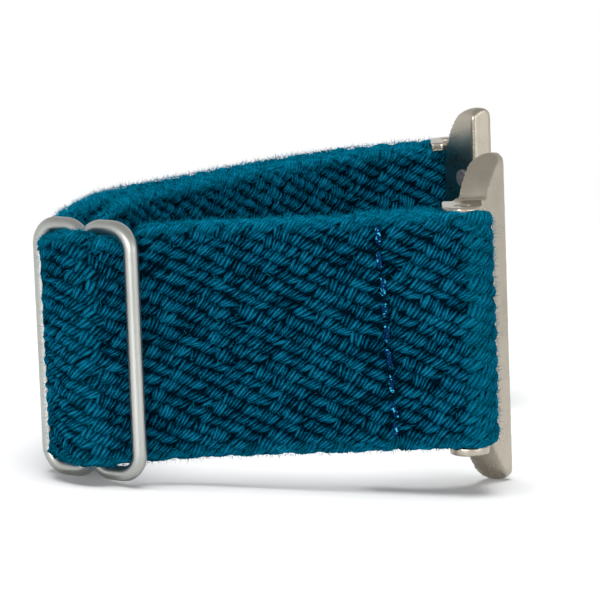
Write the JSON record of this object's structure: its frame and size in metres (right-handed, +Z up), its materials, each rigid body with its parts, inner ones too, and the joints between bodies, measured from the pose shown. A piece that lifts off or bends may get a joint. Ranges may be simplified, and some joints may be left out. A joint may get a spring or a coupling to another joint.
{
  "type": "stretch watch band",
  "caption": "Knitted stretch cotton watch strap with a figure-of-eight slide and a sprung, hinged lug adapter at each end, closed in a wrist-sized loop.",
  "frame": {"origin": "middle of the strap's bounding box, on the surface it stands on", "axes": "+Z up, across the strap's width; +X towards the two lug adapters; +Y from the near run to the far run. The strap leans 5 degrees about Y, as it stands on the slide and the adapters' lower ends."},
  "size_m": [0.0493, 0.06, 0.0335],
  "materials": {
    "knitted_cotton": "braided elastic cotton",
    "sewing_thread": "glossy twisted thread",
    "satin_steel": "satin",
    "polished_steel": "polished",
    "spring_steel": "drawn wire",
    "silicone": "matt"
  },
  "bodies": {
    "strap": {"strap_near_run": "knitted_cotton", "strap_near_flex": "knitted_cotton", "strap_outer_flex": "knitted_cotton", "strap_far_run": "knitted_cotton", "strap_inner_flex": "knitted_cotton", "hem_stitches": "sewing_thread"},
    "slide": {"slide_frame": "satin_steel", "slide_centre_bar": "satin_steel", "strap_over_slide": "knitted_cotton", "strap_sewn_end": "knitted_cotton", "end_stitches": "sewing_thread"},
    "near_adapter": {"near_adapter_body": "polished_steel", "near_friction_pads": "silicone", "near_latch_spring": "spring_steel", "near_latch_collar": "polished_steel"},
    "near_latch": {"near_latch_plunger": "polished_steel"},
    "near_bar": {"near_bar_barrel": "polished_steel", "near_bar_spring": "spring_steel"},
    "near_upper_tip": {"near_bar_upper_tip": "polished_steel"},
    "near_lower_tip": {"near_bar_lower_tip": "polished_steel"},
    "far_adapter": {"far_adapter_body": "polished_steel", "far_friction_pads": "silicone", "far_latch_spring": "spring_steel", "far_latch_collar": "polished_steel"},
    "far_latch": {"far_latch_plunger": "polished_steel"},
    "far_bar": {"far_bar_barrel": "polished_steel", "far_bar_spring": "spring_steel"},
    "far_upper_tip": {"far_bar_upper_tip": "polished_steel"},
    "far_lower_tip": {"far_bar_lower_tip": "polished_steel"}
  },
  "joints": [
    {"name": "slide_along_strap", "type": "slide", "parent": "strap", "child": "slide", "axis": [0.9967, 0, 0.0807], "range_m": [-0.005, 0.005], "deforming": ["strap_near_flex", "strap_outer_flex", "strap_inner_flex"]},
    {"name": "near_adapter_hinge", "type": "hinge", "parent": "strap", "child": "near_adapter", "pos_m": [0.01887, -0.02384, 0.01651], "axis": [-0.0807, 0, 0.9967], "range_deg": [-90, 24]},
    {"name": "near_bar_spin", "type": "hinge", "parent": "near_adapter", "child": "near_bar", "pos_m": [0.01887, -0.02384, 0.01651], "axis": [-0.0807, 0, 0.9967], "continuous": true},
    {"name": "near_upper_tip_press", "type": "slide", "parent": "near_bar", "child": "near_upper_tip", "axis": [0.0807, 0, -0.9967], "range_m": [0, 0.00095], "stiffness_N_per_m": 600, "springref_m": -0.0012, "deforming": ["near_bar_spring"]},
    {"name": "near_lower_tip_press", "type": "slide", "parent": "near_bar", "child": "near_lower_tip", "axis": [-0.0807, 0, 0.9967], "range_m": [0, 0.00095], "stiffness_N_per_m": 600, "springref_m": -0.0012, "deforming": ["near_bar_spring"]},
    {"name": "near_latch_press", "type": "slide", "parent": "near_adapter", "child": "near_latch", "axis": [-0.5282, -0.848, -0.0428], "range_m": [0, 0.0006], "stiffness_N_per_m": 800, "springref_m": -0.0006, "deforming": ["near_latch_spring"]},
    {"name": "far_adapter_hinge", "type": "hinge", "parent": "strap", "child": "far_adapter", "pos_m": [0.01887, 0.02686, 0.01651], "axis": [-0.0807, 0, 0.9967], "range_deg": [-9, 90]},
    {"name": "far_bar_spin", "type": "hinge", "parent": "far_adapter", "child": "far_bar", "pos_m": [0.01887, 0.02686, 0.01651], "axis": [-0.0807, 0, 0.9967], "continuous": true},
    {"name": "far_upper_tip_press", "type": "slide", "parent": "far_bar", "child": "far_upper_tip", "axis": [0.0807, 0, -0.9967], "range_m": [0, 0.00095], "stiffness_N_per_m": 600, "springref_m": -0.0012, "deforming": ["far_bar_spring"]},
    {"name": "far_lower_tip_press", "type": "slide", "parent": "far_bar", "child": "far_lower_tip", "axis": [-0.0807, 0, 0.9967], "range_m": [0, 0.00095], "stiffness_N_per_m": 600, "springref_m": -0.0012, "deforming": ["far_bar_spring"]},
    {"name": "far_latch_press", "type": "slide", "parent": "far_adapter", "child": "far_latch", "axis": [-0.5282, 0.848, -0.0428], "range_m": [0, 0.0006], "stiffness_N_per_m": 800, "springref_m": -0.0006, "deforming": ["far_latch_spring"]}
  ]
}
